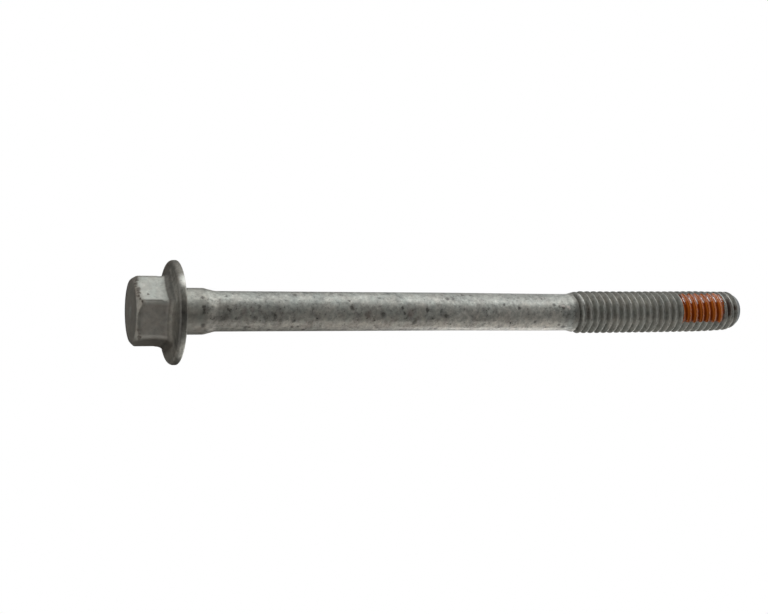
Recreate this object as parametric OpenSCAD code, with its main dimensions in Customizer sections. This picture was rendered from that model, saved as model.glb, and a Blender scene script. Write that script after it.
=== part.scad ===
// Cylinder head bolt: one forged and thread-rolled steel piece, 155 mm long under the head, with a
// band of dried locking adhesive over one side of its thread near the point.
//
// Millimetres. The bolt stands on its head. The origin is the centre of the bearing face under the
// flange, +Z runs along the shank to the point, and two flats of the hexagon face +Y and -Y.

/* [Hexagon] */
// Width across the flats
hex_af = 15; // [14:0.1:16]
// Height of the whole head, from the bearing face to the end face
head_h = 10.5; // [9:0.1:14]
// Radius of the six upright edges, rounded by forging
hex_edge_r = 2.2; // [1:0.1:3]
// Diameter of the end face inside the chamfer
end_face_d = 14.4; // [12:0.1:14.8]
// Angle between the chamfer and the end face
end_chamfer_angle = 46; // [20:1:60]

/* [Flange] */
// Diameter of the flange
flange_d = 24.3; // [22:0.1:28]
// Thickness of the flange at its rim
rim_t = 1.8; // [1.6:0.1:2.4]
// Radius on the rim's edge beside the cone
rim_cone_edge_r = 0.9; // [0.3:0.1:1]
// Radius on the rim's edge beside the bearing face
rim_bearing_edge_r = 0.5; // [0.2:0.1:0.6]
// Height of the flange's cone above the bearing face, where it meets the flats
cone_h = 3.2; // [2.8:0.1:4]
// Radius of the fillet between the hexagon and the cone
root_fillet_r = 1.8; // [0.8:0.1:2]

/* [Shank] */
// Length from the bearing face to the end of the point
under_head_l = 155; // [130:1:200]
// Diameter of the pilot collar under the flange
collar_d = 10.9; // [10.5:0.1:12]
// Length of the pilot collar
collar_l = 6.3; // [4:0.1:10]
// Length of the taper from the collar down to the shank
collar_taper_l = 2.8; // [1:0.1:4]
// Diameter of the plain shank
shank_d = 9.5; // [9:0.1:10]

/* [Thread] */
// Major diameter of the thread
thread_d = 11; // [10.5:0.1:12]
// Pitch of the thread, which is right-hand
thread_pitch = 2; // [1.5:0.25:2]
// Length of the thread, from its first groove to the end of the point
thread_l = 51; // [40:1:80]
// Length of the rise from the shank's diameter to the major diameter
run_out_l = 3; // [2:0.5:5]
// Direction in which the first groove begins
first_groove_angle = 137; // [0:1:359]
// Length of the last turns, where the crests grow lower
lead_l = 10; // [4:0.5:14]
// Major diameter where the chamfer of the point begins
lead_d = 10.5; // [10.2:0.1:10.8]
// Length of the chamfer of the point
point_l = 2.2; // [1.5:0.1:3]
// Diameter of the flat end of the point
point_d = 8; // [6:0.1:9]

/* [Locking adhesive] */
// Distance from the band to the end of the point
band_to_point = 5.8; // [4:0.1:20]
// Length of the band
band_l = 13.6; // [6:0.1:16]
// Height of the band over the thread crests
band_film_t = 0.08; // [0.05:0.01:0.14]
// Direction that the middle of the band faces
band_angle = 239; // [0:1:359]
// Angle that the band covers round the bolt
band_span = 105; // [60:1:180]

/* [Hidden] */

steel_grey = [0.56, 0.57, 0.56];
adhesive_orange = [0.72, 0.24, 0.05];

$fn = 96;
// Overlap that joins two shapes into one solid
bite = 0.5;
// The fillet is set this far into the hexagon's side and into the cone, so that it crosses both
fillet_in_side = 0.03;
fillet_in_cone = 0.1;
// The rounds of the upright edges stand this far proud of the flats and turn on past them, so that
// each round crosses the flat beside it
edge_proud = 0.02;
edge_overturn = 12;

// Upright edges of the hexagon: the centres of their radii, and the distance they reach
edge_centre_r = (hex_af / 2 - hex_edge_r) / cos(30);
edge_reach = edge_centre_r + hex_edge_r + edge_proud;

// Cone of the flange: its height falls from the flats to the rim's edge
rim_edge_centre = [flange_d / 2 - rim_cone_edge_r, rim_cone_edge_r - rim_t];
cone_top = [hex_af / 2, -cone_h];
cone_foot = tangent_point(cone_top, rim_edge_centre, rim_cone_edge_r);
cone_slope = atan2(cone_foot.y - cone_top.y, cone_foot.x - cone_top.x);
cone_h_at_edge = cone_h - (edge_reach - hex_af / 2) * tan(cone_slope);

// Thread: how far a flank leans from square to the axis, and the depth and the crest's flat as
// shares of the pitch
flank_lean = 30;
depth_share = 0.6134;
crest_share = 1 / 8;
thread_start = under_head_l - thread_l;
thread_depth = depth_share * thread_pitch;
root_flat = thread_pitch * (1 - crest_share) - 2 * thread_depth * tan(flank_lean);
// The groove's cutter stands out of the crests by this much, and its turns stay apart
cutter_out = 0.15;
cutter_steps = 20;
fade_turns = 0.5;
turn_count = ceil(thread_l / thread_pitch) + 1;

// The blank's rise to the thread begins this far before the first groove
rise_before_groove = run_out_l / 3;
rise_end = thread_start - rise_before_groove + run_out_l;

// Distance from the bearing face to the band
band_start = under_head_l - band_to_point - band_l;

// Point where the line from p touches a circle, on the circle's left seen from p
function tangent_point(p, centre, r) =
    let (to_centre = centre - p, far = norm(to_centre),
         direction = atan2(to_centre.y, to_centre.x) - asin(r / far))
    p + sqrt(far * far - r * r) * [cos(direction), sin(direction)];

// Corner k of the hexagon's edge-radius centres
function edge_centre(k) = edge_centre_r * [cos(60 * k), sin(60 * k)];

// Outline of the hexagon: straight flats that run into six round edges
module hexagon_outline() {
    flat_ends = [for (k = [0 : 5], side = [-30, 30])
        edge_centre(k) + hex_edge_r * [cos(60 * k + side), sin(60 * k + side)]];
    polygon(flat_ends);
    for (k = [0 : 5])
        translate(edge_centre(k)) circle(r = hex_edge_r + edge_proud);
}

// Cone that cuts the chamfer: it leaves the end face whole and clips the upright edges in arcs
module chamfer_envelope() {
    wide = edge_reach + bite;
    drop = (wide - end_face_d / 2) * tan(end_chamfer_angle);
    rotate_extrude()
        polygon([[0, -head_h], [end_face_d / 2, -head_h], [wide, -head_h + drop], [wide, 0], [0, 0]]);
}

module hexagon() {
    intersection() {
        translate([0, 0, -head_h])
            linear_extrude(height = head_h - rim_t / 2) hexagon_outline();
        chamfer_envelope();
    }
}

// Section of the root fillet, drawn outward from the hexagon's side, tangent to side and cone
module fillet_section() {
    corner = [-fillet_in_side, fillet_in_cone - cone_h_at_edge];
    reach = root_fillet_r / tan((90 + cone_slope) / 2);
    side_end = corner - [0, reach];
    cone_end = corner + reach * [cos(cone_slope), sin(cone_slope)];
    difference() {
        polygon([side_end - [bite, 0], side_end, cone_end, cone_end + [0, bite],
                 corner + [-bite, bite]]);
        translate(side_end + [root_fillet_r, 0]) circle(r = root_fillet_r);
    }
}

// The fillet runs along the six flats and swings round the six edges
module root_fillet() {
    flat_l = edge_centre_r;
    for (k = [0 : 5]) {
        rotate([0, 0, 60 * k + 30])
            translate([hex_af / 2, flat_l / 2, 0])
                rotate([90, 0, 0])
                    linear_extrude(height = flat_l) fillet_section();
        translate(edge_centre(k))
            rotate([0, 0, 60 * k - 30 - edge_overturn])
                rotate_extrude(angle = 60 + 2 * edge_overturn)
                    translate([hex_edge_r + edge_proud, 0]) fillet_section();
    }
}

// Half section of the flange: a cone that runs into a rim with two round edges
module flange_section() {
    rim_r = flange_d / 2;
    polygon([[0, 0], [0, -cone_h], cone_top, cone_foot, rim_edge_centre,
             [rim_r, rim_edge_centre.y], [rim_r, -rim_bearing_edge_r],
             [rim_r - rim_bearing_edge_r, -rim_bearing_edge_r], [rim_r - rim_bearing_edge_r, 0]]);
    translate(rim_edge_centre) circle(r = rim_cone_edge_r);
    translate([rim_r - rim_bearing_edge_r, -rim_bearing_edge_r]) circle(r = rim_bearing_edge_r);
}

// Half section of everything below the flange: collar, shank, blank of the thread, point
module shank_section() {
    polygon([
        [0, -bite], [collar_d / 2, -bite], [collar_d / 2, collar_l],
        [shank_d / 2, collar_l + collar_taper_l],
        [shank_d / 2, thread_start - rise_before_groove], [thread_d / 2, rise_end],
        [thread_d / 2, under_head_l - point_l - lead_l], [lead_d / 2, under_head_l - point_l],
        [point_d / 2, under_head_l], [0, under_head_l]
    ]);
}

// Section of the groove at one step of the helix, in mm out from the axis and along it
function groove_section(deep) =
    let (bottom = thread_d / 2 + cutter_out / 2 - deep * (thread_depth + cutter_out / 2),
         top = thread_d / 2 + cutter_out,
         half_bottom = root_flat / 2,
         half_top = half_bottom + (top - bottom) * tan(flank_lean))
    [[bottom, -half_bottom], [bottom, half_bottom], [top, half_top], [top, -half_top]];

// Sections stand round the axis, one for each step from first to last
function helix_points(first, last) = [
    for (k = [first : last])
        let (turn = k / cutter_steps, a = first_groove_angle + 360 * turn,
             section = groove_section(min(1, turn / fade_turns)))
        for (p = section) [p.x * cos(a), p.x * sin(a), thread_start + thread_pitch * turn + p.y]
];

// Skin between the sections: four sides a step and a cap on either end
function helix_faces(count) = concat(
    [[0, 1, 2, 3]],
    [for (k = [0 : count - 2], side = [0 : 3])
        let (a = 4 * k + side, b = 4 * k + (side + 1) % 4)
        [a, a + 4, b + 4, b]],
    [[4 * count - 1, 4 * count - 2, 4 * count - 3, 4 * count - 4]]
);

// Groove of the thread between two steps of its helix
module thread_groove(first = 0, last = turn_count * cutter_steps) {
    polyhedron(points = helix_points(first, last), faces = helix_faces(last - first + 1));
}

module head() {
    hexagon();
    root_fillet();
    rotate_extrude() flange_section();
}

module threaded_shank() {
    difference() {
        rotate_extrude() shank_section();
        thread_groove();
    }
}

module bolt() {
    color(steel_grey) {
        head();
        threaded_shank();
    }
}

// Wedge of the band's length and span, out to a radius
module band_wedge(r) {
    translate([0, 0, band_start])
        rotate([0, 0, band_angle - band_span / 2])
            rotate_extrude(angle = band_span) square([r, band_l]);
}

// The adhesive fills the grooves under the band and lies over the crests as a thin film
module locking_patch() {
    steps_below = floor((band_start - thread_start) / thread_pitch - 1) * cutter_steps;
    steps_above = ceil((band_start + band_l - thread_start) / thread_pitch + 1) * cutter_steps;
    color(adhesive_orange)
        intersection() {
            union() {
                thread_groove(steps_below, steps_above);
                translate([0, 0, band_start - bite])
                    difference() {
                        cylinder(h = band_l + 2 * bite, r = thread_d / 2 + cutter_out);
                        translate([0, 0, -bite])
                            cylinder(h = band_l + 4 * bite, r = thread_d / 2);
                    }
            }
            band_wedge(thread_d / 2 + band_film_t);
        }
}

bolt();
locking_patch();
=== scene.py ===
# %% [markdown]
# # A cylinder head bolt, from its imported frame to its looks
#
# The bolt is one forged and thread-rolled piece of steel with a grey coating, and a band of dried
# orange locking adhesive lies over one side of its thread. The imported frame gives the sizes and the
# place of both. This lesson builds their visible skins, gives them their finishes and lights them.
#
# Lengths are in millimetres until a mesh is made, because a bolt is drawn in millimetres. The frame's
# Z axis is the bolt's axis: the head is below zero and the point above. An azimuth is an angle in
# degrees about that axis, from +X towards +Y.

# %% Load the frame
import math

import bpy
import numpy as np
from mathutils import Matrix, Vector, noise


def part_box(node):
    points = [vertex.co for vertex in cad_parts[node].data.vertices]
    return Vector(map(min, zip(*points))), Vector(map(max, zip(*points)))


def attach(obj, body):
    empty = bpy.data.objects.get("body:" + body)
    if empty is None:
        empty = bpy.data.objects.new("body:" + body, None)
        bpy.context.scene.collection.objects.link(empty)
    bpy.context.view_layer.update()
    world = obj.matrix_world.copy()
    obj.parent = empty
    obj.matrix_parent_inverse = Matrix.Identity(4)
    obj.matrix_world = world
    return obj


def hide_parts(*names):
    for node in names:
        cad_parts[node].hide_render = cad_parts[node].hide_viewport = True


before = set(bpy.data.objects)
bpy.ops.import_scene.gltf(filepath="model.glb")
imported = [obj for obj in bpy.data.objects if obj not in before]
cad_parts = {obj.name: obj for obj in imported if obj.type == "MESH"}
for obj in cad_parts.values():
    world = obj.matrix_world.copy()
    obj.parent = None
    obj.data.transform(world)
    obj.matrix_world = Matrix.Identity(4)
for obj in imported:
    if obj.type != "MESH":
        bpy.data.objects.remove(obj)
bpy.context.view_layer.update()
MM = 0.001
low, high = (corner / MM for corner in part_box("bolt"))
print("the packed bolt, mm:", [round(v, 2) for v in high - low])

# %% [markdown]
# ## Sizes
#
# What the frame's box can tell is read from it, so the looks follow the frame. The rest are the
# bolt's own drawing sizes. Some edges are a little rounder than in the drawing, because forging and
# handling have rounded them on this sample.

# %% Sizes of the bolt
HEAD_H, LENGTH, FLANGE_R = -low.z, high.z, high.x
# Hexagon: width across the flats, radius of its edges, and the chamfer beside the end face
HEX_AF, HEX_EDGE_R = 15.0, 2.2
END_FACE_R, CHAMFER_ANGLE = 7.2, 46.0
# Flange: thickness and edge radii of the rim, height of the cone, its fillet, dish of the face
RIM_T, RIM_CONE_R, RIM_FACE_R = 1.8, 1.05, 0.4
CONE_H, ROOT_FILLET_R, FACE_DISH = 2.95, 2.2, 0.08
# Pilot collar with its taper, and the plain shank
COLLAR_R, COLLAR_END, TAPER_END, SHANK_R = 5.45, 6.3, 9.1, 4.75
# Thread: its length, and the azimuth at which its groove begins
THREAD_R, PITCH, THREAD_L, FIRST_GROOVE = 5.5, 2.0, 51.0, 137.0
THREAD_START = LENGTH - THREAD_L
# Root of the groove, and the share of a turn in which the groove sinks in
ROOT_R, ROOT_FLAT, ROOT_ARC, FADE_TURNS = 4.33, 0.38, 0.32, 0.15
# (height, radius) of the thread's blank: run-out, full thread, lead, chamfer of the point
BLANK = [(0.0, SHANK_R), (THREAD_START - 1.0, SHANK_R), (THREAD_START + 2.0, THREAD_R),
         (LENGTH - 12.2, THREAD_R), (LENGTH - 2.2, 5.25), (LENGTH - 1.0, 4.68), (LENGTH, 3.98),
         (LENGTH + 2.0, 2.4)]
# Band of adhesive: distance to the end of the point, length, azimuth of its middle, its angle
BAND_TO_POINT, BAND_L, BAND_ANGLE, BAND_SPAN = 5.8, 13.6, 239.0, 105.0
BAND_START = LENGTH - BAND_TO_POINT - BAND_L

# %% [markdown]
# ## The camera
#
# The bolt stands on its head, but the picture shows it lying across the frame. So the camera is
# rolled on its side: its right-hand direction follows the bolt's axis towards the point, and it
# looks from the head's end, 21.8 degrees off square. Distance and focal length were fitted together
# to the outline: the head is nearer than the point, so it shows a little larger than it is.

# %% Camera
# Azimuth that it looks from, degrees off square towards the head, degrees of roll
FACING, TILT, ROLL = 254.2, 21.8, 0.15
# What it looks at, along the axis and above it, and how far that is
AIM_Z, AIM_UP, DISTANCE = 51.82, 1.108, 316.26
# Focal length in pixels, for a picture of this width
FOCAL_PIXELS, PICTURE_W = 1285.0, 768.0


def around(degrees):
    """Unit vector across the bolt's axis, at this azimuth."""
    return Vector((math.cos(math.radians(degrees)), math.sin(math.radians(degrees)), 0.0))


to_camera, up = around(FACING), around(FACING - 90.0)
tilt, roll = math.radians(TILT), math.radians(ROLL)
right = math.sin(tilt) * to_camera + math.cos(tilt) * Vector((0, 0, 1))
forward = -math.cos(tilt) * to_camera + math.sin(tilt) * Vector((0, 0, 1))
aim = Vector((0, 0, AIM_Z)) + AIM_UP * up
place = (aim - DISTANCE * forward) * MM
camera_x = math.cos(roll) * right + math.sin(roll) * up
camera_y = -math.sin(roll) * right + math.cos(roll) * up

camera_data = bpy.data.cameras.new("camera")
camera_data.sensor_width = 36.0
camera_data.lens = FOCAL_PIXELS / PICTURE_W * camera_data.sensor_width
camera_data.clip_start, camera_data.clip_end = 0.01, 20.0
camera = bpy.data.objects.new("camera", camera_data)
bpy.context.scene.collection.objects.link(camera)
camera.matrix_world = Matrix.Translation(place) @ Matrix(
    (camera_x, camera_y, -forward)).transposed().to_4x4()
bpy.context.scene.camera = camera
print("camera at, mm:", [round(v / MM, 1) for v in camera.matrix_world.translation])

# %% [markdown]
# ## One grid for the whole skin
#
# A hexagon with round edges can be extruded and bevelled, but its chamfer and its root fillet then
# need a cut and a bevel that have to follow the round edges. Here the whole skin is one grid: each
# ring of it has the same columns, set by their azimuth. They are close together on the six rounded
# edges of the hexagon, where the outline bends, and wider over the flats.

# %% Columns of the grid
EDGE_STEPS, FLAT_STEPS = 12, 14
EDGE_CENTRE = (HEX_AF / 2 - HEX_EDGE_R) / math.cos(math.radians(30))
edge_half = math.degrees(math.atan2(HEX_EDGE_R / 2, EDGE_CENTRE
                                    + HEX_EDGE_R * math.cos(math.radians(30))))
columns = []
for corner in range(6):
    middle = 60.0 * corner
    columns += [middle - edge_half + 2 * edge_half * i / EDGE_STEPS for i in range(EDGE_STEPS)]
    columns += [middle + edge_half + (60 - 2 * edge_half) * i / FLAT_STEPS
                for i in range(FLAT_STEPS)]
azimuth = np.array(columns)
N = len(columns)
print("columns:", N)


def hexagon_radius(degrees):
    """Distance from the axis to the hexagon's side, with its rounded edges."""
    off = np.radians((degrees + 30.0) % 60.0 - 30.0)
    on_edge = np.abs(off) < math.radians(edge_half)
    inside = np.clip(HEX_EDGE_R ** 2 - (EDGE_CENTRE * np.sin(off)) ** 2, 0, None)
    edge = EDGE_CENTRE * np.cos(off) + np.sqrt(inside)
    flat = HEX_AF / 2 / np.cos(math.radians(30) - np.abs(off))
    return np.where(on_edge, edge, flat)


# %% [markdown]
# ## The head and shank in section
#
# At each column the bolt has a section in the plane of its axis: end face, chamfer, side, root
# fillet, cone, rim, bearing face, collar, shank. Only the hexagon's side moves in and out between
# the columns, and the points beside it follow. A ring of the skin is one point of that section at
# all columns: an array of radii and an array of heights.

# %% Tools for a section
def arc(centre_r, centre_z, radius, start, end, count):
    """Points of an arc in a section, angles in degrees; centre_r and centre_z may be arrays."""
    return [(centre_r + radius * math.cos(math.radians(a)),
             centre_z + radius * math.sin(math.radians(a)))
            for a in np.linspace(start, end, count)]


def rounded(before, corner, after, radius, count):
    """Points of a parabola that rounds the corner of a section, starting a radius before it."""
    b, c, a = (np.array([np.broadcast_to(v, N) for v in p], float)
               for p in (before, corner, after))
    back, on = b - c, a - c
    back, on = back / np.hypot(*back), on / np.hypot(*on)
    return [tuple(c + radius * ((1 - t) ** 2 * back + t ** 2 * on))
            for t in np.linspace(0, 1, count)]


def turned(section):
    """Rings that are the same at every column, as if turned on a lathe."""
    return [(np.full(N, float(r)), np.full(N, float(z))) for r, z in section]


# %% [markdown]
# The chamfer cuts the round edges lower than the flats, so its inner edge is a circle and its outer
# edge rises and falls six times. The fillet under the hexagon keeps its radius all round and moves
# with the side. Both come from one formula for a column, which needs no cutting and no bevel.

# %% Rings of the head
side = hexagon_radius(azimuth)
rim_centre = (FLANGE_R - RIM_CONE_R, RIM_CONE_R - RIM_T)
across, rise = rim_centre[0] - HEX_AF / 2, rim_centre[1] + CONE_H
slope = math.degrees(math.atan2(rise, across) - math.asin(RIM_CONE_R / math.hypot(across, rise)))
chamfer_z = -HEAD_H + (side - END_FACE_R) * math.tan(math.radians(CHAMFER_ANGLE))
cone_z = -CONE_H + (side - HEX_AF / 2) * math.tan(math.radians(slope))
fillet_z = cone_z - ROOT_FILLET_R / math.tan(math.radians((90 + slope) / 2))

end_rings = turned([(r, -HEAD_H) for r in (2.0, 4.0, 5.6)])
end_edge = rounded((6.0, -HEAD_H), (END_FACE_R, -HEAD_H), (side, chamfer_z), 0.25, 5)
chamfer_edge = rounded((END_FACE_R, -HEAD_H), (side, chamfer_z), (side, 0.0), 0.3, 6)
side_z = chamfer_z + 0.5
side_rings = [(side, side_z + (fillet_z - side_z) * t) for t in (0.12, 0.3, 0.5, 0.7, 0.88)]
root_rings = arc(side + ROOT_FILLET_R, fillet_z, ROOT_FILLET_R, 180, 90 + slope, 8)
# The cone dips by a tenth of a millimetre on its way to the rim
cone_end = (rim_centre[0] - RIM_CONE_R * math.sin(math.radians(slope)),
            rim_centre[1] - RIM_CONE_R * math.cos(math.radians(slope)))
cone_start = root_rings[-1]
cone_rings = [tuple(s + (e - s) * t for s, e in zip(cone_start, cone_end)) for t in (0.33, 0.67)]
rim_rings = turned(arc(*rim_centre, RIM_CONE_R, slope - 90, 0, 7)
                   + arc(FLANGE_R - RIM_FACE_R, FACE_DISH - RIM_FACE_R, RIM_FACE_R, 0, 90, 6))
print("slope of the flange's cone, degrees:", round(slope, 1))

# %% [markdown]
# The bearing face is dished, so the bolt presses with the ring beside its rim. The collar is turned
# to a close size, and its taper leads down to the shank with both corners worn round.

# %% Rings of the bearing face, collar and shank
NECK_R = 0.5
face_rings = turned([(10.6, 0.1), (9.4, 0.04), (8.4, 0.0), (7.0, 0.0)])
neck_rings = turned(arc(COLLAR_R + NECK_R, NECK_R, NECK_R, 270, 180, 5))
collar_rings = turned([(COLLAR_R, z) for z in (1.6, 3.0, 4.6, 5.8)])
taper_rings = turned([(COLLAR_R, COLLAR_END - 0.2), (COLLAR_R - 0.04, COLLAR_END + 0.2),
                      (5.25, COLLAR_END + 0.8), (5.0, TAPER_END - 1.0), (4.82, TAPER_END - 0.3),
                      (SHANK_R, TAPER_END + 0.3)])
shank_rings = turned([(SHANK_R, z) for z in np.linspace(11.0, THREAD_START - 5.0, 45)])
parts = [("end", end_rings + end_edge), ("chamfer", chamfer_edge), ("side", side_rings),
         ("root", root_rings), ("cone", cone_rings), ("rim", rim_rings), ("face", face_rings),
         ("collar", neck_rings + collar_rings), ("shank", taper_rings + shank_rings)]
print("rings below the thread:", sum(len(part_rings) for _, part_rings in parts))

# %% [markdown]
# ## The thread on a helical grid
#
# Flat rings can't follow a helix without steps on its edges. So the thread's rows climb by one pitch
# a turn, and each row stays on one line of the thread: the middle of the root, a flank, an edge of
# the crest. Where a row comes round to the first column it has become the row one pitch above, so
# the last column is joined to the first one a pitch higher up.
#
# The thread is rolled, not cut: rollers press a groove with a round root into a plain blank. The
# profile does the same. It takes the smaller of the blank's radius and the groove's, and rounds the
# change between them as the rolled crest is round at its edges.

# %% Profile of the thread
TAN30 = math.tan(math.radians(30))
# The bottom of the groove starts just outside the steel
OUTER_GROOVE_R = THREAD_R + 0.075
CREST_ROUNDING = 0.14
# A radius that is out of the steel's reach
NO_GROOVE = 99.0


def blank_radius(z):
    """Radius of the blank that the groove is rolled into."""
    return np.interp(z, *zip(*BLANK))


def smooth_min(a, b, width):
    """The smaller of two values, with the change from one to the other rounded."""
    h = np.clip(0.5 + 0.5 * (b - a) / width, 0, 1)
    return b + (a - b) * h - width * h * (1 - h)


def groove_bottom(turn):
    """Radius of the groove's bottom, which sinks in at the start of the first turn."""
    return OUTER_GROOVE_R - np.clip(turn / FADE_TURNS, 0, 1) * (OUTER_GROOVE_R - ROOT_R)


def thread_radius(z, t, turn):
    """Radius of the thread at height z, t mm along the axis from the middle of its groove."""
    bottom = groove_bottom(turn)
    root = bottom + ROOT_ARC - np.sqrt(np.clip(ROOT_ARC ** 2 - t ** 2, 1e-9, None))
    flank = bottom + (np.abs(t) - ROOT_FLAT / 2) / TAN30
    groove = np.where(np.abs(t) < ROOT_ARC * math.cos(math.radians(30)), root, flank)
    groove = np.where(turn > 0, groove, NO_GROOVE)
    return smooth_min(blank_radius(z), groove, CREST_ROUNDING)


# %% [markdown]
# Of the sixteen rows of a pitch, seven lie on the round root, one in the middle of each flank, three
# close together where each flank turns into the crest, and one in the middle of it. The edge of
# the crest moves with the depth of the groove, and the rows move with it. They begin one turn before
# the groove, on the plain shank, and end past the point, where they are cut off later.

# %% Rows of the thread
def row_offsets(groove_z, turn):
    """Distances of the rows of one pitch from the middle of its groove, at every column."""
    flank_l = (blank_radius(groove_z) - groove_bottom(turn)) * TAN30
    edge = np.clip(ROOT_FLAT / 2 + flank_l, 0.3, 0.9)
    half = [np.full_like(edge, ROOT_ARC * math.sin(math.radians(a))) for a in (20, 40, 60)]
    half += [0.28 + (edge - 0.3) * 0.5, edge - 0.05, edge, edge + 0.06]
    crest_middle = np.full_like(edge, PITCH / 2)
    return [-h for h in reversed(half)] + [np.zeros_like(edge)] + half + [crest_middle]


first_turn, last_turn = -1, math.ceil((LENGTH + 3 - THREAD_START) / PITCH)
helix_rows = []
for k in range(first_turn, last_turn + 1):
    turn = k + (azimuth - FIRST_GROOVE) / 360.0
    groove_z = THREAD_START + PITCH * turn
    offsets = row_offsets(groove_z, turn)
    helix_rows += [(thread_radius(groove_z + t, t, turn), groove_z + t) for t in offsets]
ROWS_PER_PITCH = len(offsets)
print("rows a pitch:", ROWS_PER_PITCH, "rows in all:", len(helix_rows))

# %% [markdown]
# ## One mesh from rings and rows
#
# No forged bolt is quite true. This one is bent by less than half a millimetre over its length, and
# its flange stands a little off centre, so the points are moved by that much as they are placed.

# %% Points of the bolt
# (height, distance of the axis towards the picture's top)
BEND = [(0, 0.0), (70, 0.0), (95, -0.12), (115, -0.1), (132, 0.02), (148, 0.2), (155, 0.42)]
# How far the rings of the flange stand towards the picture's bottom
FLANGE_OFF = {"root": 0.1, "cone": 0.28, "rim": 0.3, "face": 0.15}


def on_the_axis(degrees, radius, z):
    """Points in metres from azimuth, radius and height, with the bolt's slight bend."""
    a = np.radians(degrees)
    off = np.interp(z, *zip(*BEND))
    return np.stack([radius * np.cos(a) + off * up.x, radius * np.sin(a) + off * up.y, z],
                    axis=-1) * MM


points = []
for part, part_rings in parts:
    aside = np.array(up) * FLANGE_OFF.get(part, 0.0) * MM
    points += [on_the_axis(azimuth, r, z) - aside for r, z in part_rings]
count_rings, count_rows = len(points), len(helix_rows)
points += [on_the_axis(azimuth, r, z) for r, z in helix_rows]
vertices = np.concatenate(points + [np.array([[0, 0, -HEAD_H * MM]])])
print("points:", len(vertices))

# %% [markdown]
# The rings are joined to each other, the last ring to the first helical row, and the helical rows to
# each other with the shift at the seam. What is left open where the flat rings meet the climbing
# rows is one tall, narrow gap, and a single face with many corners closes it. A fan of triangles
# round the last point closes the end face of the head.

# %% Faces of the bolt
faces = []
# The last ring stays open at the seam, because the row above it has climbed by a pitch there
for i in range(count_rings):
    for c in range(N if i < count_rings - 1 else N - 1):
        d = (c + 1) % N
        faces.append((i * N + c, i * N + d, (i + 1) * N + d, (i + 1) * N + c))
start = count_rings * N
for j in range(count_rows - 1):
    for c in range(N - 1):
        a = start + j * N + c
        faces.append((a, a + 1, a + N + 1, a + N))
# The seam: the last column is joined to the first column, one pitch higher
for j in range(count_rows - 1 - ROWS_PER_PITCH):
    a, b = start + j * N + N - 1, start + (j + ROWS_PER_PITCH) * N
    faces.append((a, b, b + N, a + N))
seam = [start + j * N for j in range(ROWS_PER_PITCH + 1)]
faces.append([start - 1, start - N] + seam + [start + N - 1])
centre = len(vertices) - 1
faces += [(centre, (c + 1) % N, c) for c in range(N)]
print("faces before the point is cut:", len(faces))

# %% [markdown]
# The point is cut square with the bisect tool, which also fills the cut. The tool's own tolerance of
# 0.1 mm would pull the cut to corners of the fine thread grid that lie near the plane, and fold the
# skin there. So the tolerance is set to far less than the distance between any two points.
#
# Smooth shading by angle keeps the edge of the point sharp and lets the light run over the rest.

# %% Skin of the bolt
CUT_TOLERANCE = 1e-7


def new_skin(name, vertices, faces):
    """A mesh object at the origin, from points in metres and faces that count them."""
    mesh = bpy.data.meshes.new(name)
    mesh.from_pydata(vertices.tolist(), [], faces)
    thing = bpy.data.objects.new(name, mesh)
    bpy.context.scene.collection.objects.link(thing)
    return thing


def cut_square(thing, cuts, sharp_from):
    """Cuts a skin across the axis, closes it and shades it smooth up to an angle in degrees.

    A cut is its height and 1 to take away what is above it, or -1 for what is below.
    """
    bpy.ops.object.select_all(action="DESELECT")
    thing.select_set(True)
    bpy.context.view_layer.objects.active = thing
    bpy.ops.object.mode_set(mode="EDIT")
    for height, away in cuts:
        bpy.ops.mesh.select_all(action="SELECT")
        bpy.ops.mesh.bisect(plane_co=(0, 0, height * MM), plane_no=(0, 0, away), use_fill=True,
                            clear_outer=True, threshold=CUT_TOLERANCE)
    bpy.ops.mesh.select_all(action="SELECT")
    bpy.ops.mesh.normals_make_consistent(inside=False)
    bpy.ops.object.mode_set(mode="OBJECT")
    bpy.ops.object.shade_smooth_by_angle(angle=math.radians(sharp_from))


def open_edges(thing):
    """How many edges don't have two faces; a closed skin has none."""
    uses = np.bincount([loop.edge_index for loop in thing.data.loops])
    return int((uses != 2).sum())


bolt = new_skin("bolt_skin", vertices, faces)
cut_square(bolt, [(LENGTH, 1)], 40)
print("bolt:", len(bolt.data.polygons), "faces, open edges:", open_edges(bolt))

# %% [markdown]
# ## Tints of the coating
#
# The coating isn't the same everywhere: handling has rubbed the hexagon's edges, and one side has
# browned. The tints also carry painted light and shade: lit and shaded sides, painted shade in
# corners and in a groove, and painted highlights on edges and crests. So each point of the skin gets
# a tint from its place, which the finish multiplies by its own mottling.
# A tint has a fourth value, the strength of that mottling: a rubbed place is even, a plain one not.

# %% Colours
def colour(text):
    """Linear colour from an sRGB hex string."""
    parts = [int(text[i:i + 2], 16) / 255 for i in (1, 3, 5)]
    linear = [p / 12.92 if p <= 0.04045 else ((p + 0.055) / 1.055) ** 2.4 for p in parts]
    return (*linear, 1.0)


def tinted(text, mottling):
    """A tint with the strength of the mottling in its fourth value."""
    return np.array([*colour(text)[:3], mottling])


# %% [markdown]
# Wear has soft borders. So a worn patch is a share between 0 and 1 that fades out from its middle or
# rises from a border, and a new tint is laid over the old one by that share.

# %% Shares
def near(values, middle, width, whole=1.0):
    """Share of a patch: it falls by 1 over each width from the middle, where it is `whole`."""
    return np.clip(whole - np.abs(values - middle) / width, 0, 1)[:, None]


def ramp(values, start, width):
    """Share that rises from 0 at the start to 1 a width further on; a negative width goes down."""
    return np.clip((values - start) / width, 0, 1)[:, None]


def over(under, upper, share):
    """A tint laid over another one by a share."""
    return under * (1 - share) + upper * share
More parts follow.
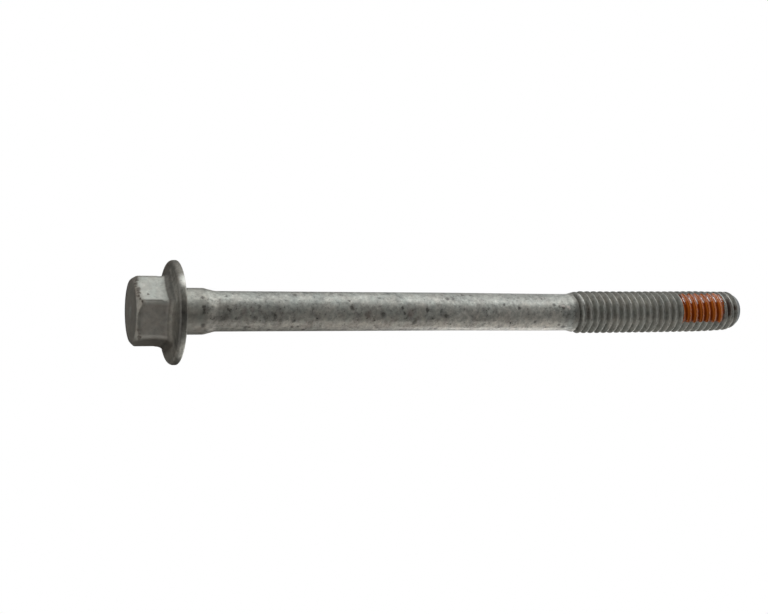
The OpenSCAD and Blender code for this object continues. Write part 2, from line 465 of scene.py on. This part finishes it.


# %% [markdown]
# A hexagon that has been through sockets is rubbed on its edges. The side that faces up in the
# picture is painted a light grey and the side that faces down is painted dark, as painted light and
# shade. The foot of every side is painted darker, as painted shade in the corner under the hexagon.

# %% Tints of the hexagon
# For the sides that face 30, 90, 150, 210, 270 and 330 degrees; 210 and 330 carry painted light and
# shade
SIDE_TINTS = ("#8a877f", "#8f8c84", "#97958d", "#b8bab4", "#aba69e", "#77726a")
# Painted shade at the foot of each side, in the corner under the hexagon
FOOT_TINTS = ("#6a665f", "#6a665f", "#6a665f", "#64625c", "#706c64", "#5c574f")
# Partly rubbed metal and partly a painted highlight on the rounded edges
WORN_EDGE_AND_HIGHLIGHT = tinted("#b2b0a8", 0.4)
# Angle in which the tint of one side changes over to the next
CHANGE_OVER = 9.0


def by_side(side_tints, mottling):
    """One tint for each column, which changes over within the hexagon's edges."""
    facing = (azimuth - 30.0) % 360.0
    first, share = np.floor(facing / 60.0).astype(int), facing % 60.0 / 60.0
    order = np.array([tinted(text, mottling) for text in side_tints + side_tints[:1]])
    step = np.clip((share - 0.5) * 60 / CHANGE_OVER + 0.5, 0, 1)[:, None]
    return over(order[first], order[first + 1], step)


side_tint, foot_tint = by_side(SIDE_TINTS, 0.35), by_side(FOOT_TINTS, 0.6)
# The edge lines, partly rubbing and partly painted highlight, are faint beside the side that faces
# the camera
on_edge = near((azimuth + 30) % 60, 30, 7)
on_edge *= np.where(np.abs(azimuth - 270) < 45, 0.2, 1.0)[:, None]
worn_lit_and_shaded_side = over(side_tint, WORN_EDGE_AND_HIGHLIGHT, 0.4 * on_edge)
# One of them has a painted highlight line with a line of painted shade beside it, and the other a
# faint line of painted shade
worn_lit_and_shaded_side = over(worn_lit_and_shaded_side, WORN_EDGE_AND_HIGHLIGHT, 0.45 * near(azimuth, 241.0, 1.8, 1.5))
edge_shade = 0.7 * near(azimuth, 236.6, 1.3, 1.5) + 0.3 * near(azimuth, 299.5, 3.0, 1.5)
worn_lit_and_shaded_side = over(worn_lit_and_shaded_side, tinted("#5b5751", 0.4), edge_shade)
print("tints of the hexagon at", len(worn_lit_and_shaded_side), "columns")

# %% [markdown]
# The end face is painted dark towards its edge away from the camera, as painted shade. The chamfer
# is painted dull on the camera's side and pale on either side of that, as painted shade and light.

# %% Tints of the end face and its chamfer
END_TINT, CHAMFER_TINT = tinted("#85817a", 0.5), tinted("#8b877e", 0.6)
# Painted shade on the camera's side of the chamfer, and painted light on either side of it
dull_chamfer = 0.6 * near(azimuth, 270, 20, 1.4)
pale_chamfer = np.maximum(near(azimuth, 303, 14), 0.5 * near(azimuth, 205, 20))
# Painted shade towards the end face's edge away from the camera
far_edge = 0.8 * near(azimuth, 74, 75, 1.3)


def lit_and_shaded_chamfer(tint):
    """The tint of the chamfer or its inner edge, with its painted shade and painted light."""
    tint = over(tint, tinted("#716d65", 0.6), dull_chamfer)
    return over(tint, tinted("#96938a", 0.6), pale_chamfer)


def end_tint(step):
    """Tint of a ring of the end face or its round edge, counted from the middle."""
    tint = np.tile(END_TINT, (N, 1))
    if step > 4:
        tint = lit_and_shaded_chamfer(tint)
    if step > 2:
        tint = over(tint, tinted("#45484a", 0.4), far_edge)
    return tint


def chamfer_tint(step):
    """Tint of a ring of the chamfer's outer edge, counted from the end face."""
    tint = lit_and_shaded_chamfer(CHAMFER_TINT)
    return over(tint, worn_lit_and_shaded_side, 0.5) if step > 2 else tint


# %% [markdown]
# The cone of the flange is painted darker on the camera's side and lighter above and below it, as
# painted shade and light. The rim has a short painted highlight, a pale stretch of painted light
# lower down, painted shade on the camera's side and a painted shadow at its bottom. The round edge
# beside the cone is painted dark on the camera's side, as painted shade.

# %% Tints of the flange
# Painted shade on the camera's side and painted light above and below it
CONE_TINTS = ("#75716a", "#75716a", "#75716a", "#7f7c75", "#64615a", "#827e76")
cone_tint = by_side(CONE_TINTS, 0.7)
# The rim's tint, with painted shade on the camera's side, painted light lower down and a painted
# shadow at its bottom
rim_tint = over(tinted("#8d8b83", 0.7), tinted("#45433f", 0.7), 0.85 * near(azimuth, 256, 24))
pale_rim = ramp(azimuth, 284, 12) * ramp(azimuth, 314, -6)
rim_tint = over(rim_tint, tinted("#b5b3aa", 0.7), pale_rim)
rim_tint = over(rim_tint, tinted("#45423c", 0.7), 0.75 * near(azimuth, 332, 16, 1.5))
# Painted shade on the round edge beside the cone, on the camera's side
shaded_round = 0.5 * near(azimuth, 262, 45, 1.3)
# A painted highlight on the rim
rim_highlight = 0.7 * near(azimuth, 217.5, 6.0, 1.6)


def flange_tint(step):
    """Tint of a ring of the rim, counted from the cone."""
    fade = min(1.0, max(0.0, (step - 2) / 3))
    tint = over(cone_tint, rim_tint, fade)
    if step < 5:
        tint = over(tint, tinted("#35332f", 0.7), shaded_round)
    return over(tint, tinted("#f2f2ec", 0.5), rim_highlight * fade)


# %% [markdown]
# Hands hold a bolt by its shank, and their grease has browned the coating on one side. The other
# side keeps the grey of the metal flakes. From the middle of the shank on, both are painted paler
# towards the thread, as painted light.

# %% Tints of the collar and shank
# The brown cast: its azimuth, and the angle in which it fades out on either side
BROWN_SIDE, BROWN_FADE = 300.0, 75.0
# (height, tint) along the bolt, on the brown side and elsewhere; the rise from 50 mm on is painted
# light
BROWNED = [(0.0, "#8c8880"), (8.0, "#8c8880"), (14.0, "#9d988f"), (50.0, "#9d988f"),
           (75.0, "#aaa59c")]
PALER = [(0.0, "#b1b1aa"), (8.0, "#b1b1aa"), (14.0, "#a1a39e"), (50.0, "#a0a29d"),
         (75.0, "#b2b3ae")]
brown = near((azimuth - BROWN_SIDE + 180) % 360, 180, BROWN_FADE)


def along(stations, z, mottling):
    """Tint at height z, between stations of (height, tint)."""
    heights = [height for height, _ in stations]
    shades = np.array([tinted(text, mottling) for _, text in stations])
    return np.array([np.interp(z, heights, shades[:, i]) for i in range(4)])


def shank_tint(z, mottling):
    """Tint of a ring of the collar or shank at height z."""
    tint = over(along(PALER, z, mottling), along(BROWNED, z, mottling), brown)
    # The upper side is painted duller from the middle of the shank on, as painted shade over its
    # sheen
    upper = ramp(azimuth, 228, -16) * np.clip((z - 45) / 30, 0, 1)
    return over(tint, tinted("#90928e", mottling), upper)


# %% [markdown]
# The rings are gone through part by part. Each part has its own rule, by the ring's number in the
# part or by its height.

# %% Tint of every ring
RING_TINTS = {
    "end": lambda step, z: end_tint(step),
    "chamfer": lambda step, z: chamfer_tint(step),
    "side": lambda step, z: worn_lit_and_shaded_side,
    "root": lambda step, z: side_tint if step < 3 else foot_tint,
    "cone": lambda step, z: cone_tint,
    "rim": lambda step, z: flange_tint(step),
    "face": lambda step, z: np.tile(tinted("#95938b", 0.6), (N, 1)),
    "collar": lambda step, z: shank_tint(z, 0.6),
    "shank": lambda step, z: shank_tint(z, 1.0)}
tint_rings = [RING_TINTS[part](step, z[0]) for part, part_rings in parts
              for step, (_, z) in enumerate(part_rings)]
print("tinted rings:", len(tint_rings))

# %% [markdown]
# The crests of the thread are painted darker up to the camera's side and lighter on the lower side,
# and its roots are painted one even tone lighter than most crests, as painted light and shade; so the
# tint goes by how deep a point lies in the groove. The first groove is painted dark where the camera
# sees it, as painted shade, and the crest beside it has a painted highlight for a stretch. The
# chamfer of the point is dark and bluish.

# %% Tints of the thread
skin_points = np.array([v.co for v in bolt.data.vertices]) / MM
point_z = skin_points[:, 2]
point_azimuth = np.degrees(np.arctan2(skin_points[:, 1], skin_points[:, 0])) % 360
depth_in = ramp(blank_radius(point_z) - np.hypot(skin_points[:, 0], skin_points[:, 1]), 0, 1.2)
# Crests: painted shade up to the camera's side, painted light on the lower side
crest_tint = over(tinted("#96958e", 0.7), tinted("#82827d", 0.7), ramp(point_azimuth, 280, -20))
crest_tint = over(crest_tint, tinted("#aeada5", 0.7), ramp(point_azimuth, 300, 20))
# Roots: one even tone, painted light against the shade of the groove
thread_tint = over(crest_tint, tinted("#9c9b94", 0.7), depth_in)
past_groove = point_z - THREAD_START - PITCH * (point_azimuth - FIRST_GROOVE) / 360
# Painted shade in the first groove, on the side that the camera sees
seen = ramp(point_azimuth, 175, 10) * ramp(point_azimuth, 335, -10)
first_groove_shade = 0.65 * near(past_groove, 0.15, 0.35, 1.4) * seen
thread_tint = over(thread_tint, tinted("#4c4943", 0.7), first_groove_shade)
# A painted highlight on the crest beside the first groove
stretch = ramp(point_azimuth, 188, 8) * ramp(point_azimuth, 236, -12)
crest_highlight = 0.7 * near(past_groove, 0.95, 0.25, 1.4) * stretch
thread_tint = over(thread_tint, tinted("#dcdcd6", 0.7), crest_highlight)
thread_tint = over(thread_tint, tinted("#50585c", 0.5), ramp(point_z, LENGTH - 1.8, 1.2))

# The rings keep their own tint, and the rows between them and the thread have the plain shank's
tints = np.tile(tinted("#9fa19c", 1.0), (len(skin_points), 1))
tints[:count_rings * N] = np.concatenate(tint_rings)
tints = np.where(point_z[:, None] > THREAD_START - 1.0, thread_tint, tints)
tint_layer = bolt.data.color_attributes.new("tint", "FLOAT_COLOR", "POINT")
tint_layer.data.foreach_set("color", tints.ravel().astype(np.float32))
print("tints on", len(tints), "points")

# %% [markdown]
# ## The locking adhesive
#
# The adhesive was brushed on as a liquid and has dried. It fills the grooves nearly to the top and
# lies over the crests as a thin film, and it ends in a ragged line. Its outer surface is the
# thread's own surface plus a thickness. Where the thickness runs out the surface dives under the
# steel, so the ragged line appears by itself.
#
# Its grid follows the helix like the thread's, with twenty rows a pitch, and reaches a little past
# the band on all sides.

# %% Grid of the adhesive
half_span = BAND_SPAN / 2
resin_azimuth = np.arange(BAND_ANGLE - half_span - 1.0, BAND_ANGLE + half_span + 1.5, 1.25)
M = len(resin_azimuth)
# The turns of the groove that the band lies over, and one more on either side
first_turn = math.floor((BAND_START - THREAD_START) / PITCH) - 1
last_turn = math.ceil((BAND_START + BAND_L - THREAD_START) / PITCH) + 1
resin_rows = []
for k in range(first_turn, last_turn + 1):
    turn = k + (resin_azimuth - FIRST_GROOVE) / 360.0
    groove_z = THREAD_START + PITCH * turn
    for t in np.linspace(-1, 1, 21)[:-1]:
        z = groove_z + t
        resin_rows.append((thread_radius(z, t, turn), z, np.full(M, abs(t))))
R = len(resin_rows)
steel_r, resin_z, resin_t = (np.array(values) for values in zip(*resin_rows))
resin_a = np.broadcast_to(resin_azimuth, resin_z.shape)
print("adhesive:", R, "rows of", M, "points")

# %% [markdown]
# The thickness is drawn on the band as if it were peeled off and laid flat, so the random swells
# have the same size in both directions. The coarse ones are 2 mm wide and set the ragged line and
# the uneven fill. The fine ones, of half a millimetre, keep the line from looking soft.
#
# A liquid that dries in a groove shrinks most where it is deepest, which leaves a hollow along the
# middle of each groove. The hollow gives every turn its own streak of light.

# %% Thickness of the adhesive
def wander(points, per_mm, seed):
    """Smooth random values from -1 to 1 over an array of points."""
    shift = Vector((seed * 3.1, seed * 7.7, seed * 1.3))
    return np.array([noise.noise(Vector(p) * per_mm + shift) for p in points])


arc_mm = np.radians(resin_a - BAND_ANGLE) * THREAD_R
flat_points = np.stack([arc_mm.ravel(), resin_z.ravel(), np.zeros(arc_mm.size)], axis=1)
rough = wander(flat_points, 0.55, 1).reshape(arc_mm.shape)
fine = wander(flat_points, 1.9, 2).reshape(arc_mm.shape)
to_border = np.minimum.reduce([
    math.radians(half_span) * THREAD_R - np.abs(arc_mm) - 0.25,
    resin_z - BAND_START - 0.15,
    BAND_START + BAND_L - resin_z - 0.15])
to_border = to_border + 0.28 * rough + 0.14 * fine
# The full thickness is reached 0.45 mm inside the ragged line
share = np.clip(to_border / 0.45, -0.2, 1)
level = THREAD_R - 0.22 + 0.13 * (resin_t / 0.75) ** 2 + 0.06 * rough + 0.02 * fine
film = 0.035 + 0.025 * rough + 0.015 * fine
full = np.maximum(level, steel_r + film)
# Outside the ragged line the surface runs 0.012 mm under the steel
outer_r = steel_r + np.where(share > 0, share * (full - steel_r), 0.0) - 0.012 * (share <= 0)
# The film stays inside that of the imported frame, which is 0.08 mm
outer_r = np.minimum(outer_r, THREAD_R + 0.078)
inner_r = steel_r - 0.03
depth = np.clip(outer_r - steel_r, 0, None)
print("adhesive: deepest", round(float(depth.max()), 2), "mm")

# %% [markdown]
# The outer and the inner surface have the same grid, and a strip round their border joins them. The
# thickness is kept on each point, because the finish needs it: deep resin is darker than a film.
# Both ends of the band are then cut across the axis like the point.

# %% Skin of the adhesive
def resin_points(radius):
    """Points in metres of one surface of the adhesive."""
    return on_the_axis(resin_a, radius, resin_z).reshape(-1, 3)


top = R * M
resin_faces = []
for j in range(R - 1):
    for c in range(M - 1):
        a, b = j * M + c, j * M + c + top
        resin_faces.append((a, a + 1, a + M + 1, a + M))
        resin_faces.append((b, b + M, b + M + 1, b + 1))
loop = list(range(M)) + [j * M + M - 1 for j in range(1, R)]
loop += [(R - 1) * M + c for c in range(M - 2, -1, -1)] + [j * M for j in range(R - 2, 0, -1)]
for a, b in zip(loop, loop[1:] + loop[:1]):
    resin_faces.append((b, a, a + top, b + top))

resin = new_skin("adhesive_skin", np.concatenate([resin_points(outer_r), resin_points(inner_r)]),
                 resin_faces)
thickness = resin.data.attributes.new("thickness", "FLOAT", "POINT")
thickness.data.foreach_set("value", np.tile(depth.ravel(), 2).astype(np.float32))
cut_square(resin, [(BAND_START, -1), (BAND_START + BAND_L, 1)], 50)
print("adhesive:", len(resin.data.polygons), "faces, open edges:", open_edges(resin))

# %% [markdown]
# ## Finishes
#
# There are two: a zinc-flake coating on the steel and a dried resin. Their patterns are procedural
# and lie in the object's own space, so they need no unwrapping and have no seam. One helper adds a
# node. A Mix node has its colours in inputs 6 and 7 and in output 2, so they are named by number.

# %% Node helpers
def new_material(name):
    """A material without nodes, and its node tree."""
    material = bpy.data.materials.new(name)
    material.use_nodes = True
    material.node_tree.nodes.clear()
    return material, material.node_tree


def node(tree, kind, inputs=None, **settings):
    """Adds a node; inputs are values or output sockets, by the socket's name or number."""
    made = tree.nodes.new(kind)
    for key, value in settings.items():
        setattr(made, key, value)
    for key, value in (inputs or {}).items():
        if isinstance(value, bpy.types.NodeSocket):
            tree.links.new(value, made.inputs[key])
        else:
            made.inputs[key].default_value = value
    return made


# %% [markdown]
# ### Zinc-flake coating
#
# The coating is a dip of zinc flakes in a binder, spun off and baked. It dries blotchy, and that is
# what tells the eye that it isn't plating or paint: blotches of a millimetre, clouds of eight
# millimetres, and specks of half a millimetre, dark ones where it is thin and pale ones where flakes
# have been rubbed. Very faint patches of 3 mm lean to brown or to green-blue.

# %% Mottling of the coated steel
steel, tree = new_material("zinc_flake_coated_steel")
coordinates = node(tree, "ShaderNodeTexCoord").outputs["Object"]
# One unit of the patterns is one millimetre
in_mm = node(tree, "ShaderNodeMapping", {"Vector": coordinates,
                                         "Scale": (1 / MM, 1 / MM, 1 / MM)}).outputs[0]
tint = node(tree, "ShaderNodeAttribute", attribute_name="tint")


def mottle(per_mm, detail, start, end, at_start, at_end):
    """Noise with so many swells a millimetre; its values from start to end are stretched."""
    swell = node(tree, "ShaderNodeTexNoise", {"Vector": in_mm, "Scale": per_mm, "Detail": detail,
                                              "Roughness": 0.65})
    return node(tree, "ShaderNodeMapRange", {
        "Value": swell.outputs["Fac"], "From Min": start, "From Max": end, "To Min": at_start,
        "To Max": at_end}).outputs[0]


blotches = mottle(0.9, 6.0, 0.3, 0.7, -0.48, 0.48)
clouds = mottle(0.13, 2.0, 0.3, 0.7, -0.24, 0.24)
dark_specks = mottle(1.5, 2.0, 0.61, 0.72, 0.0, -0.6)
pale_specks = mottle(2.2, 3.0, 0.6, 0.72, 0.0, 0.6)
pattern = blotches
for layer in (clouds, dark_specks, pale_specks):
    pattern = node(tree, "ShaderNodeMath", {0: pattern, 1: layer}, operation="ADD").outputs[0]
# 1 plus the pattern, by the strength that the tint asks for
shade = node(tree, "ShaderNodeMath", {0: pattern, 1: tint.outputs["Alpha"], 2: 1.0},
             operation="MULTIPLY_ADD").outputs[0]
cast = node(tree, "ShaderNodeMix", {"Factor": mottle(0.35, 3.0, 0.35, 0.65, 0.0, 1.0),
                                    6: (1.02, 0.99, 0.96, 1), 7: (0.98, 1.01, 1.0, 1)},
            data_type="RGBA").outputs[2]
coating = tint.outputs["Color"]
for layer in (shade, cast):
    coating = node(tree, "ShaderNodeMix", {"Factor": 1.0, 6: coating, 7: layer},
                   data_type="RGBA", blend_type="MULTIPLY").outputs[2]

# %% [markdown]
# ### Marks
#
# The clear pits, stains and chips of this sample are set one by one, because the eye finds them
# again. A mark is the distance from its place, and a fine noise is added to the space before the
# distance is taken, so its border is ragged and no mark is round.

# %% Ragged marks
WOBBLE = 0.9
# Swells of 0.6 mm, finer than most of the marks
wobble = node(tree, "ShaderNodeTexNoise", {"Vector": in_mm, "Scale": 1.6, "Detail": 3.0})
ragged = node(tree, "ShaderNodeVectorMath", {
    0: wobble.outputs["Color"], 1: (WOBBLE, WOBBLE, WOBBLE), 2: in_mm},
    operation="MULTIPLY_ADD").outputs[0]


def marks(places, strength):
    """1 inside ragged marks and 0 away from them; a place is (azimuth, z, radius, half size)."""
    found = None
    for degrees, z, radius, size in places:
        # The noise is 0.5 on average, so half the wobble is added to each place
        centre = around(degrees) * radius + Vector((0, 0, z)) + Vector((WOBBLE / 2,) * 3)
        away = node(tree, "ShaderNodeVectorMath", {0: ragged, 1: centre}, operation="DISTANCE")
        mark = node(tree, "ShaderNodeMapRange", {
            "Value": away.outputs["Value"], "From Min": 0.4 * size, "From Max": size,
            "To Min": strength, "To Max": 0.0}).outputs[0]
        found = mark if found is None else node(
            tree, "ShaderNodeMath", {0: found, 1: mark}, operation="MAXIMUM").outputs[0]
    return found


# %% Places of the marks
# (azimuth, height, half size) of the pits in the shank and of those round the collar's end
SHANK_PITS = [
    (207.8, 11.2, 0.5), (249.0, 11.3, 0.55), (307.0, 15.8, 0.75), (305.0, 16.7, 0.6),
    (321.5, 21.8, 0.6), (265.8, 22.5, 0.55), (304.2, 27.1, 0.6), (282.6, 27.2, 0.65),
    (199.8, 27.9, 0.7), (303.0, 28.5, 0.6), (321.2, 30.3, 0.7), (222.0, 41.3, 0.5),
    (242.5, 41.8, 0.85), (210.5, 49.2, 0.55), (262.8, 49.8, 0.95), (243.0, 54.9, 0.6),
    (259.8, 55.4, 0.6), (288.5, 58.3, 0.85), (249.0, 61.4, 0.7), (316.2, 63.4, 0.8),
    (317.0, 64.6, 0.7), (265.8, 66.6, 0.7), (211.8, 67.3, 0.7), (213.2, 68.9, 0.65),
    (193.2, 72.0, 0.6), (194.8, 74.2, 0.6), (231.0, 82.7, 0.5), (242.8, 86.8, 0.55),
    (286.8, 91.6, 0.6), (209.0, 93.9, 0.55), (232.5, 97.0, 0.65), (238.5, 98.4, 0.6),
    (297.5, 99.0, 0.6), (242.2, 99.5, 0.65), (307.5, 100.4, 0.75)]
COLLAR_PITS = [(218.5, 5.2, 0.6), (243.0, 5.3, 0.6), (250.0, 5.4, 0.65), (257.0, 5.3, 0.6),
               (290.8, 5.4, 0.8)]
# The others with the radius at which they lie, before their half size
dark_places = ([(a, z, SHANK_R, size) for a, z, size in SHANK_PITS]
               + [(a, z, COLLAR_R - 0.05, size) for a, z, size in COLLAR_PITS])
pale_places = [(236.0, 99.6, 4.75, 0.6), (239.5, 101.0, 4.75, 0.6), (243.5, 101.4, 4.75, 0.5)]
rust_places = [(254.5, 14.9, 4.75, 1.1), (249.0, 17.0, 4.75, 0.9), (262.0, 46.0, 4.75, 1.6),
               (259.0, 57.0, 4.75, 1.4), (240.0, 106.6, 4.6, 1.3), (256.0, 106.7, 4.6, 1.3),
               (270.0, 106.8, 4.6, 1.2)]
residue_places = [(220.0, 150.5, 4.6, 1.2), (229.0, 150.5, 4.6, 1.4), (239.0, 150.6, 4.6, 1.4),
                  (250.0, 150.6, 4.6, 1.3), (260.0, 150.7, 4.6, 1.1), (240.0, 152.6, 4.5, 0.9)]
chip_places = [(191.0, -9.8, 7.9, 0.6), (198.0, -10.1, 7.6, 0.6), (205.0, -10.2, 7.5, 0.5),
               (211.7, -9.8, 7.5, 0.75), (216.0, -9.9, 7.5, 0.6), (220.5, -9.8, 7.6, 0.6),
               (227.0, -10.0, 7.8, 0.5), (234.0, -9.8, 8.2, 0.5), (238.5, -9.3, 8.3, 0.4),
               (224.3, -7.7, 7.7, 0.35), (287.0, -10.1, 7.9, 0.5), (293.0, -9.9, 8.2, 0.6),
               (299.0, -9.6, 8.3, 0.7), (305.0, -9.6, 8.2, 0.5)]
print("marks:", len(dark_places + pale_places + rust_places + residue_places + chip_places))

# %% [markdown]
# The marks are laid one over the other: first the rust, which shines through as a light stain, then
# the brown residue of the adhesive beside its band, rubbed places, pits, and last the chips along
# the chamfer, where a socket has broken the coating.
#
# The coating is partly metallic, because flakes cover only some of the surface, and rough enough to
# spread each light into a wide sheen. A bump of 0.04 mm lets the blotches catch the light.

# %% Coated steel
skin = coating
for places, strength, text in ((rust_places, 0.22, "#5d3c30"), (residue_places, 0.8, "#4a2a1a"),
                               (pale_places, 0.7, "#d8cfc8"), (dark_places, 0.7, "#34302c"),
                               (chip_places, 0.8, "#3a2e24")):
    skin = node(tree, "ShaderNodeMix", {"Factor": marks(places, strength), 6: skin,
                                        7: colour(text)}, data_type="RGBA").outputs[2]
bump = node(tree, "ShaderNodeBump", {"Height": pattern, "Strength": 0.25, "Distance": 0.04 * MM})
shader = node(tree, "ShaderNodeBsdfPrincipled", {
    "Base Color": skin, "Metallic": 0.4, "Roughness": 0.45, "Normal": bump.outputs[0]})
node(tree, "ShaderNodeOutputMaterial", {"Surface": shader.outputs[0]})
bolt.data.materials.append(steel)
print("nodes of the coated steel:", len(tree.nodes))

# %% [markdown]
# ### Dried adhesive
#
# The resin is smooth and glossy, so small bright streaks stand on it, which the coating beside it
# doesn't have. It is translucent: a film over a crest is light orange and lets the grey through, and
# a full groove is dark red-brown. The thickness that each point carries drives both.

# %% Adhesive
adhesive, tree = new_material("dried_orange_locking_adhesive")
thick = node(tree, "ShaderNodeAttribute", attribute_name="thickness").outputs["Fac"]
tone = node(tree, "ShaderNodeValToRGB", {"Fac": thick})
thin_end, deep_end = tone.color_ramp.elements
thin_end.position = 0.0
thin_end.color = colour("#c66a22")
# The grooves are nearly 1 mm deep
deep_end.position = 0.9
deep_end.color = colour("#6c2802")
shader = node(tree, "ShaderNodeBsdfPrincipled", {
    "Base Color": tone.outputs["Color"], "Roughness": 0.14, "Specular IOR Level": 0.35})
clear = node(tree, "ShaderNodeBsdfTransparent", {"Color": colour("#e8a070")})
# From 0.12 mm on, nothing shows through
cover = node(tree, "ShaderNodeMapRange", {"Value": thick, "From Min": 0.0, "From Max": 0.12,
                                          "To Min": 0.2, "To Max": 1.0})
mixed = node(tree, "ShaderNodeMixShader", {0: cover.outputs[0], 1: clear.outputs[0],
                                           2: shader.outputs[0]})
node(tree, "ShaderNodeOutputMaterial", {"Surface": mixed.outputs[0]})
resin.data.materials.append(adhesive)

# %% [markdown]
# ## Back to the frame
#
# Each skin rides on the frame's one body and takes the place of its node.

# %% Skins and nodes
for thing, name, slot in ((bolt, "bolt", "coated_steel"),
                          (resin, "locking_patch", "locking_adhesive")):
    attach(thing, "root")
    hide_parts(name)

# %% [markdown]
# ## Floor, lights and background
#
# The picture is cut out on plain white, with only soft, wide light on the bolt. The floor is white
# paper that glows by itself, so it has hardly an edge against the white background, and it is clear
# from behind, so it hides nothing when the bolt is looked at from below. It shows to the camera only:
# mirrored in the steel it would wash out the dark lower side.

# %% Floor
def hide_from(thing, *kinds):
    """Makes an object invisible to these kinds of ray."""
    for kind in kinds:
        setattr(thing, "visible_" + kind, False)


bpy.ops.object.select_all(action="DESELECT")
# A hair below the end face, because two faces in one plane can't be told apart
bpy.ops.mesh.primitive_plane_add(size=16.0, location=(0, 0, (-HEAD_H - 0.05) * MM))
floor = bpy.context.object
floor.name = "floor"
white, tree = new_material("white_paper")
behind = node(tree, "ShaderNodeNewGeometry").outputs["Backfacing"]
paper = node(tree, "ShaderNodeBsdfDiffuse", {"Color": (0.9, 0.9, 0.9, 1)})
clear = node(tree, "ShaderNodeBsdfTransparent")
glow = node(tree, "ShaderNodeEmission", {"Color": (1, 1, 1, 1), "Strength": 1.0})
pale = node(tree, "ShaderNodeMixShader", {0: 0.8, 1: paper.outputs[0], 2: glow.outputs[0]})
mixed = node(tree, "ShaderNodeMixShader", {0: behind, 1: pale.outputs[0], 2: clear.outputs[0]})
node(tree, "ShaderNodeOutputMaterial", {"Surface": mixed.outputs[0]})
floor.data.materials.append(white)
hide_from(floor, "diffuse", "glossy", "transmission", "shadow")

# %% [markdown]
# ### Lights
#
# Most light comes from the picture's top and from the point's end. The key light makes the wide
# sheen along the upper side of the shank. The bounce is what white paper gives back from below, the
# edge light draws the lower border of the shank, and the left one lights the end face and chamfer.
# The spark is a narrow strip close to the point, for the streaks on the adhesive.

# %% Lights
def area_light(name, direction, distance, size, power, look_z=70.0):
    """An area light that looks at the axis from a direction, with a size in metres both ways."""
    data = bpy.data.lights.new(name, "AREA")
    data.shape, data.energy = "RECTANGLE", power
    data.size, data.size_y = size
    light = bpy.data.objects.new(name, data)
    bpy.context.scene.collection.objects.link(light)
    at = Vector((0, 0, look_z * MM)) + direction.normalized() * distance
    back = direction.normalized().to_track_quat("Z", "Y")
    light.matrix_world = Matrix.Translation(at) @ back.to_matrix().to_4x4()


area_light("key", around(177) + Vector((0, 0, 0.45)), 0.6, (0.45, 0.45), 0.93)
area_light("spark", around(181) + Vector((0, 0, 0.72)), 0.25, (0.15, 0.03), 0.2, 143.0)
area_light("bounce", around(346) + Vector((0, 0, 0.4)), 0.7, (0.6, 0.6), 0.47)
area_light("edge", around(22) + Vector((0, 0, 0.5)), 0.3, (0.08, 0.08), 0.12, 80.0)
area_light("left", around(254) * 0.25 + Vector((0, 0, -1)), 0.6, (0.5, 0.5), 0.55, 0.0)

# %% [markdown]
# ### Black felt
#
# A studio puts black felt beside a shiny part, so that its sides mirror something dark and its form
# shows. The cards are seen by reflections only and cast no shadow.

# %% Black felt
felt, tree = new_material("black_felt")
cloth = node(tree, "ShaderNodeBsdfDiffuse", {"Color": colour("#2a2a2a")})
node(tree, "ShaderNodeOutputMaterial", {"Surface": cloth.outputs[0]})
for name, direction, size in (("felt_front", around(258), 4.0), ("felt_low", around(22), 1.8),
                              ("felt_back", around(95), 1.3),
                              ("felt_head", around(74) * 0.85 - Vector((0, 0, 0.5)), 1.4)):
    toward = direction.normalized()
    bpy.ops.object.select_all(action="DESELECT")
    bpy.ops.mesh.primitive_plane_add(size=size, location=toward * 1.2,
                                     rotation=toward.to_track_quat("Z", "Y").to_euler())
    card = bpy.context.object
    card.name = name
    card.data.materials.append(felt)
    hide_from(card, "camera", "diffuse", "transmission", "shadow")

# %% [markdown]
# ### Background
#
# The camera and the mirror images see a full white, as in a cut-out picture. As a light on matt
# surfaces the same white would flatten all shading, so there the room gives only a third of it.

# %% Background
world = bpy.data.worlds.new("studio")
world.use_nodes = True
bpy.context.scene.world = world
tree = world.node_tree
tree.nodes.clear()
path = node(tree, "ShaderNodeLightPath")
sees_white = path.outputs["Is Camera Ray"]
for kind in ("Is Glossy Ray", "Is Transmission Ray"):
    sees_white = node(tree, "ShaderNodeMath", {0: sees_white, 1: path.outputs[kind]},
                      operation="MAXIMUM").outputs[0]
white_light = node(tree, "ShaderNodeBackground", {"Color": (1, 1, 1, 1), "Strength": 1.0})
room = node(tree, "ShaderNodeBackground", {"Color": (1, 1, 1, 1), "Strength": 0.32})
chosen = node(tree, "ShaderNodeMixShader", {0: sees_white, 1: room.outputs[0],
                                            2: white_light.outputs[0]})
node(tree, "ShaderNodeOutputWorld", {"Surface": chosen.outputs[0]})
bpy.context.scene.view_settings.view_transform = "Standard"
